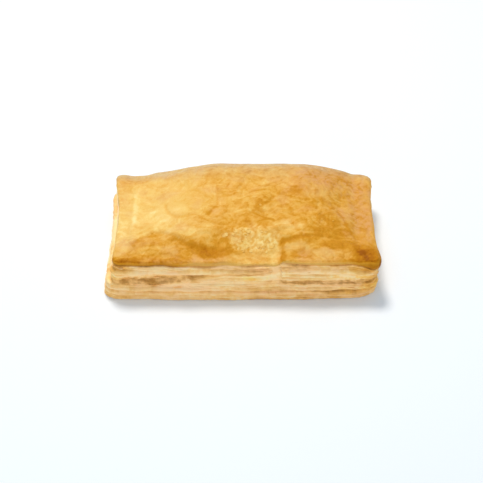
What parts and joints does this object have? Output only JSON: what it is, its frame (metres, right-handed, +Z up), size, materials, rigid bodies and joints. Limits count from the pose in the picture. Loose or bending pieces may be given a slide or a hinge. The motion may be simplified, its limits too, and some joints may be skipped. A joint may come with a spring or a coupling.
{
  "type": "puff pastry pasty",
  "caption": "Baked puff pastry pasty: a low slab with a soft domed golden top, cut flaky sides and a flat base.",
  "frame": {"origin": "centre of the flat base, on the ground", "axes": "+X along the pasty, +Y to its back, +Z up"},
  "size_m": [0.1432, 0.0776, 0.0346],
  "materials": {
    "puff_pastry": "baked golden skin with a low egg-wash gloss, paler and dull on the cut sides"
  },
  "bodies": {
    "root": {"pasty": "puff_pastry"}
  },
  "joints": []
}
